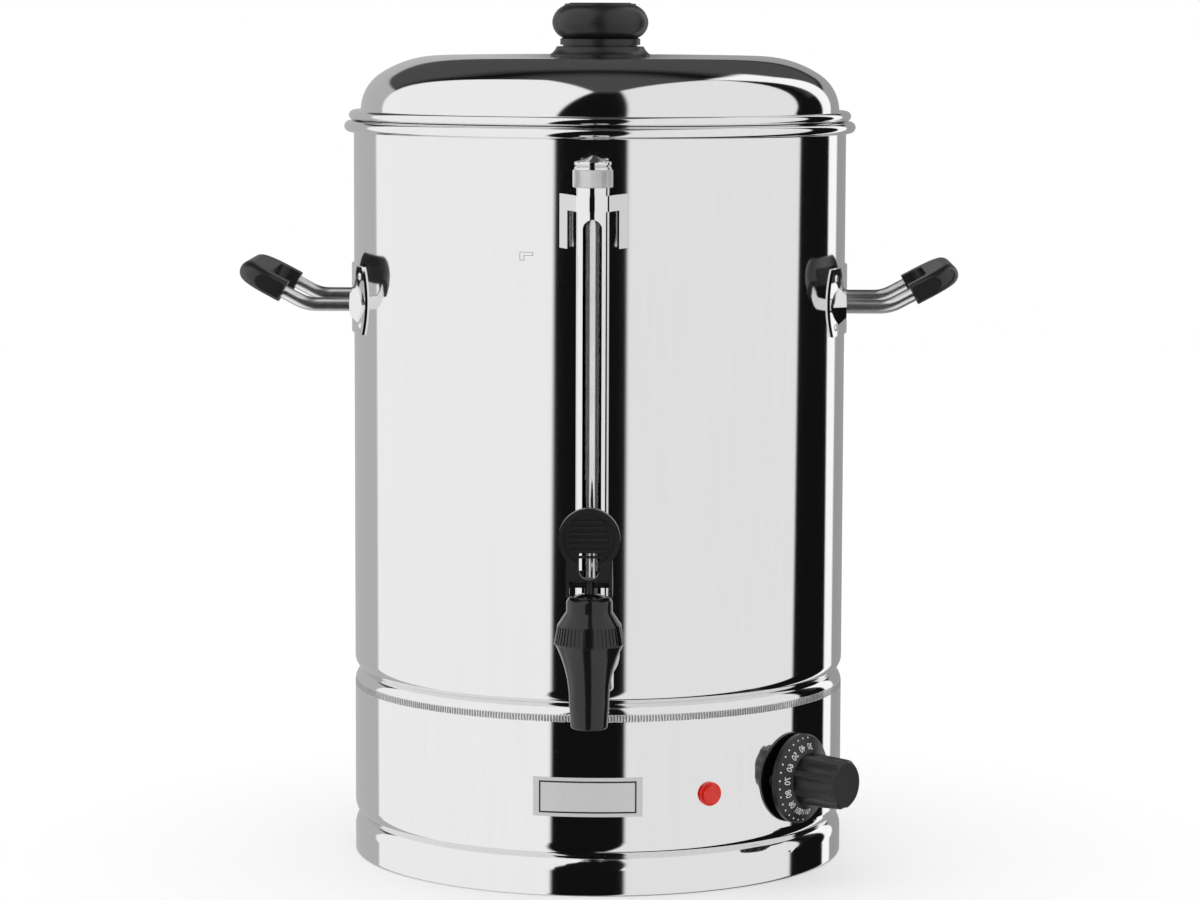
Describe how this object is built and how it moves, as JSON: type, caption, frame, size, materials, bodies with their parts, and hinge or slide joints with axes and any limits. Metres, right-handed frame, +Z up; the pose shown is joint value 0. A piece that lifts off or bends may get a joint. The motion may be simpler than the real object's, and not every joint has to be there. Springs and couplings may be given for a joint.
{
  "type": "hot water urn",
  "caption": "Round ten-litre electric hot water urn with lift-off lid, sight gauge, lever tap, two side handles and a thermostat dial on its base.",
  "frame": {"origin": "centre of the foot ring's underside, on the urn's vertical axis", "axes": "+X towards the side handle on the user's right, +Y towards the back and the cable gland, +Z up along the urn's axis to the lid knob; the tap faces -Y"},
  "size_m": [0.3566, 0.3355, 0.427],
  "materials": {
    "polished_steel": "mirror polished with a faint horizontal grain",
    "chrome_trim": "polished plating",
    "zinc_steel": "plain",
    "black_plastic": "semi-gloss moulded",
    "red_lens": "clear tinted",
    "clear_glass": "clear",
    "silicone": "matte"
  },
  "bodies": {
    "urn": {"vessel_shell": "polished_steel", "vessel_floor": "polished_steel", "base_housing": "polished_steel", "foot_ring": "polished_steel", "base_plate": "zinc_steel", "base_screws": "zinc_steel", "gauge_guard": "chrome_trim", "gauge_glass": "clear_glass", "gauge_seal_lower": "silicone", "gauge_seal_upper": "silicone", "gauge_bracket": "polished_steel", "gauge_tee": "chrome_trim", "tap_body": "black_plastic", "tap_bonnet": "black_plastic", "tap_washer_outer": "silicone", "tap_washer_inner": "silicone", "tap_nut": "zinc_steel", "tap_spring": "zinc_steel", "handle_rod_right": "polished_steel", "handle_rod_left": "polished_steel", "handle_grip_right": "black_plastic", "handle_grip_left": "black_plastic", "handle_bracket_right": "polished_steel", "handle_bracket_left": "polished_steel", "handle_rivets_right": "polished_steel", "handle_rivets_left": "polished_steel", "pilot_lens": "red_lens", "pilot_body": "black_plastic", "thermostat_body": "black_plastic", "thermostat_screws": "zinc_steel", "thermostat_bulb": "zinc_steel", "heating_element": "zinc_steel", "element_nuts": "zinc_steel", "thermal_cutout": "zinc_steel", "terminal_block": "black_plastic", "cable_gland": "black_plastic"},
    "lid": {"lid_shell": "polished_steel", "knob_collar": "black_plastic", "lid_knob": "black_plastic", "knob_cap": "black_plastic", "knob_screw": "zinc_steel"},
    "gauge_cap_body": {"gauge_cap": "chrome_trim"},
    "valve": {"valve_stem": "zinc_steel", "seat_cup": "silicone", "lever_pin": "zinc_steel"},
    "lever": {"tap_lever": "black_plastic"},
    "dial": {"thermostat_dial": "black_plastic", "thermostat_shaft": "zinc_steel"}
  },
  "joints": [
    {"name": "lid_lift", "type": "slide", "parent": "urn", "child": "lid", "axis": [0, 0, 1], "range_m": [0, 0.12]},
    {"name": "cap_lift", "type": "slide", "parent": "urn", "child": "gauge_cap_body", "axis": [0, 0, 1], "range_m": [0, 0.025]},
    {"name": "stem_lift", "type": "slide", "parent": "urn", "child": "valve", "axis": [0, 0, 1], "range_m": [0, 0.0044], "deforming": ["tap_spring"]},
    {"name": "lever_tilt", "type": "hinge", "parent": "valve", "child": "lever", "pos_m": [0, -0.183, 0.16], "axis": [1, 0, 0], "range_deg": [0, 50], "stiffness_Nm_per_rad": 0.05, "springref_deg": -17.19},
    {"name": "dial_turn", "type": "hinge", "parent": "urn", "child": "dial", "pos_m": [0.0982, -0.074, 0.0497], "axis": [0.7986, -0.6018, 0], "range_deg": [-190, 0]}
  ],
  "couplings": [
    {"joint": "stem_lift", "follows": "lever_tilt", "m_per_rad": 0.005}
  ]
}
